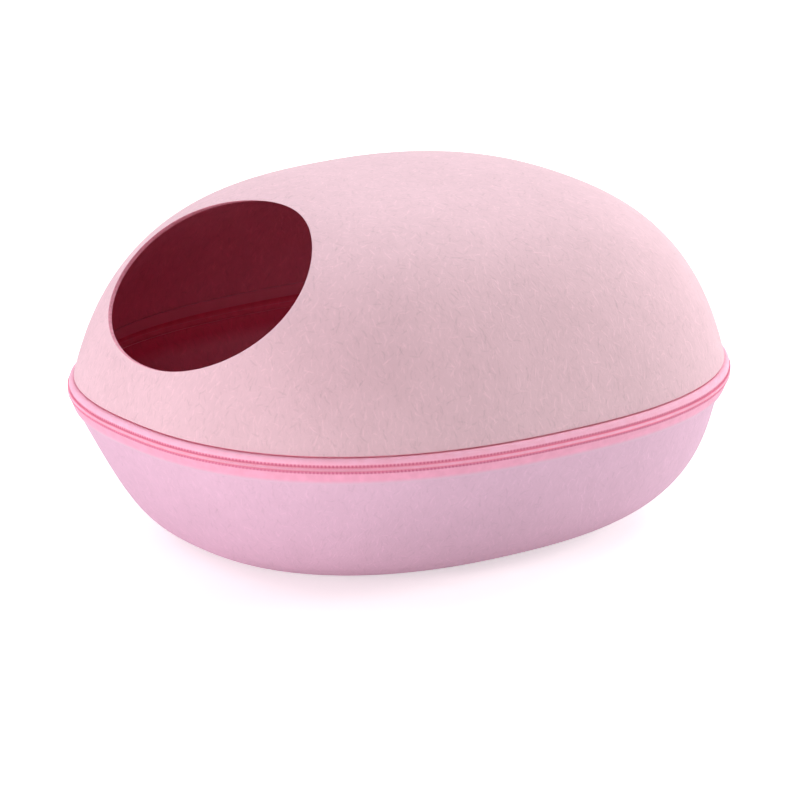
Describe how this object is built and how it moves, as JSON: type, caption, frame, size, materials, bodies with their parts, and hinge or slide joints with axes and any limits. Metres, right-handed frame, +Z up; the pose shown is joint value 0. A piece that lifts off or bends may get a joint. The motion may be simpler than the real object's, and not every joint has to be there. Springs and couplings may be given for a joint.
{
  "type": "felt cat cave",
  "caption": "Egg-shaped felt cat cave: an upper and a lower moulded felt shell joined by a zip all round, with an oval entrance in the upper front.",
  "frame": {"origin": "on the ground under the middle of the cave", "axes": "+Z up, the entrance faces -Y, and X is the width"},
  "size_m": [0.39, 0.47, 0.25],
  "materials": {
    "felt_dome": "matt pale pink pressed felt with short fibres",
    "felt_bowl": "matt lilac pink pressed felt with short fibres",
    "zip_tape": "woven pink polyester tape",
    "zip_coil": "satin pink nylon coil",
    "zip_slider": "satin pink enamel"
  },
  "bodies": {
    "root": {"dome_felt": "felt_dome", "bowl_felt": "felt_bowl", "zip_tape_upper": "zip_tape", "zip_tape_lower": "zip_tape", "zip_coil_upper": "zip_coil", "zip_coil_lower": "zip_coil", "zip_slider": "zip_slider", "zip_pull": "zip_slider"}
  },
  "joints": []
}
